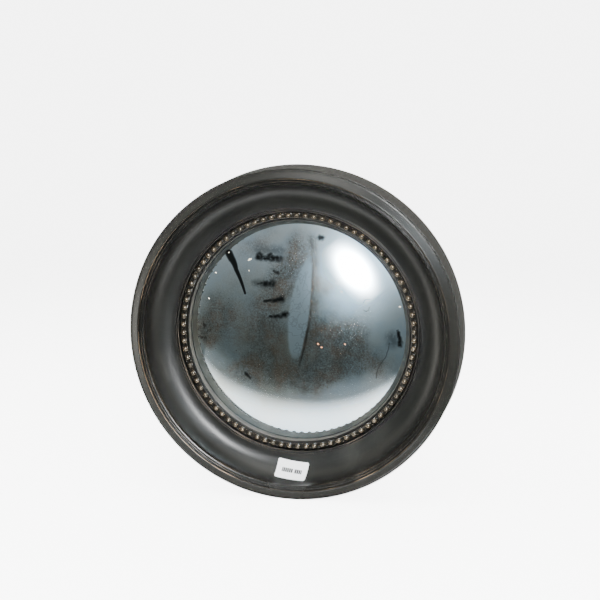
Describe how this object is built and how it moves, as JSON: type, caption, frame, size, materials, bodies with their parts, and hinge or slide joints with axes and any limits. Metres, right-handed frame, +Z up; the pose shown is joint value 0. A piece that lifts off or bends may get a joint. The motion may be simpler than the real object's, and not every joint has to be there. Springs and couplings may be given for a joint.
{
  "type": "convex wall mirror",
  "caption": "Round convex wall mirror: dark turned frame with a wide cove, a ring of small bronze beads, spotted silvered glass, and a backing board with ring hangers.",
  "frame": {"origin": "centre of the backing board's rear face", "axes": "-Y out of the mirror's face, +Y towards the wall, +Z up, +X to the right seen from the front"},
  "size_m": [0.406, 0.0666, 0.406],
  "materials": {
    "ebonised_wood": "satin",
    "bronzed_bead": "rubbed bronze",
    "silvered_glass": "foxed silvering",
    "grey_felt": "matte",
    "packing_card": "matte",
    "brown_hardboard": "matte",
    "zinc_steel": "satin",
    "brassed_steel": "satin",
    "black_rubber": "matte",
    "white_paper": "matte"
  },
  "bodies": {
    "mirror": {"frame_moulding": "ebonised_wood", "bead_slip": "ebonised_wood", "bead_strip_right": "bronzed_bead", "bead_strip_left": "bronzed_bead", "mirror_glass": "silvered_glass", "rebate_felt": "grey_felt", "packing_ring": "packing_card", "backing_board": "brown_hardboard", "turn_button_screw_1": "brassed_steel", "turn_button_screw_2": "brassed_steel", "turn_button_screw_3": "brassed_steel", "turn_button_screw_4": "brassed_steel", "hanger_strap_left": "zinc_steel", "hanger_strap_right": "zinc_steel", "hanger_screw_left_1": "zinc_steel", "hanger_screw_left_2": "zinc_steel", "hanger_screw_right_1": "zinc_steel", "hanger_screw_right_2": "zinc_steel", "wall_bumper_1": "black_rubber", "wall_bumper_2": "black_rubber", "wall_bumper_3": "black_rubber", "wall_bumper_4": "black_rubber", "bumper_screw_1": "zinc_steel", "bumper_screw_2": "zinc_steel", "bumper_screw_3": "zinc_steel", "bumper_screw_4": "zinc_steel", "lot_label": "white_paper"},
    "ring_left": {"hanger_ring_left": "zinc_steel"},
    "ring_right": {"hanger_ring_right": "zinc_steel"},
    "button_top": {"turn_button_1": "brassed_steel"},
    "button_left": {"turn_button_2": "brassed_steel"},
    "button_bottom": {"turn_button_3": "brassed_steel"},
    "button_right": {"turn_button_4": "brassed_steel"}
  },
  "joints": [
    {"name": "ring_left_swing", "type": "hinge", "parent": "mirror", "child": "ring_left", "pos_m": [-0.12, 0.0037, 0.14], "axis": [1, 0, 0], "range_deg": [0, 180]},
    {"name": "ring_right_swing", "type": "hinge", "parent": "mirror", "child": "ring_right", "pos_m": [0.12, 0.0037, 0.14], "axis": [1, 0, 0], "range_deg": [0, 180]},
    {"name": "button_top_turn", "type": "hinge", "parent": "mirror", "child": "button_top", "pos_m": [0, 0, 0.154], "axis": [0, 1, 0], "continuous": true},
    {"name": "button_left_turn", "type": "hinge", "parent": "mirror", "child": "button_left", "pos_m": [-0.154, 0, 0], "axis": [0, 1, 0], "continuous": true},
    {"name": "button_bottom_turn", "type": "hinge", "parent": "mirror", "child": "button_bottom", "pos_m": [0, 0, -0.154], "axis": [0, 1, 0], "continuous": true},
    {"name": "button_right_turn", "type": "hinge", "parent": "mirror", "child": "button_right", "pos_m": [0.154, 0, 0], "axis": [0, 1, 0], "continuous": true}
  ]
}
